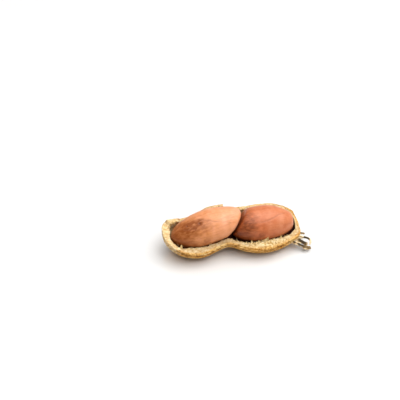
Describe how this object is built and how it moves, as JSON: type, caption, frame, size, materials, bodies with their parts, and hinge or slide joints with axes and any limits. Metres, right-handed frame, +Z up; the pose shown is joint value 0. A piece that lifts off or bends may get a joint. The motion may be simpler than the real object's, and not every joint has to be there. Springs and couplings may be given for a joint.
{
  "type": "peanut",
  "caption": "Peanut split open: the netted half of a waisted pod with a dry stalk at one tip, lying on its back and holding its plump brown-skinned kernels.",
  "frame": {"origin": "middle of the underside of the whole object's box, on the plane that the pod lies on", "axes": "+Z up, +X along the pod towards the tip with the dry stalk, +Y across it away from the side that the split faces"},
  "size_m": [0.0404, 0.0152, 0.0132],
  "materials": {
    "pod_shell": "dry, fibrous and matte, straw-ochre outside and cream at the torn rim and inside",
    "kernel_skin_pale": "thin papery seed skin, pinkish tan with a soft satin sheen and fine veins",
    "kernel_skin_red": "thin papery seed skin, reddish brown with a soft satin sheen and fine veins"
  },
  "bodies": {
    "root": {"shell_half": "pod_shell", "kernel_left": "kernel_skin_pale", "kernel_right": "kernel_skin_red"}
  },
  "joints": []
}
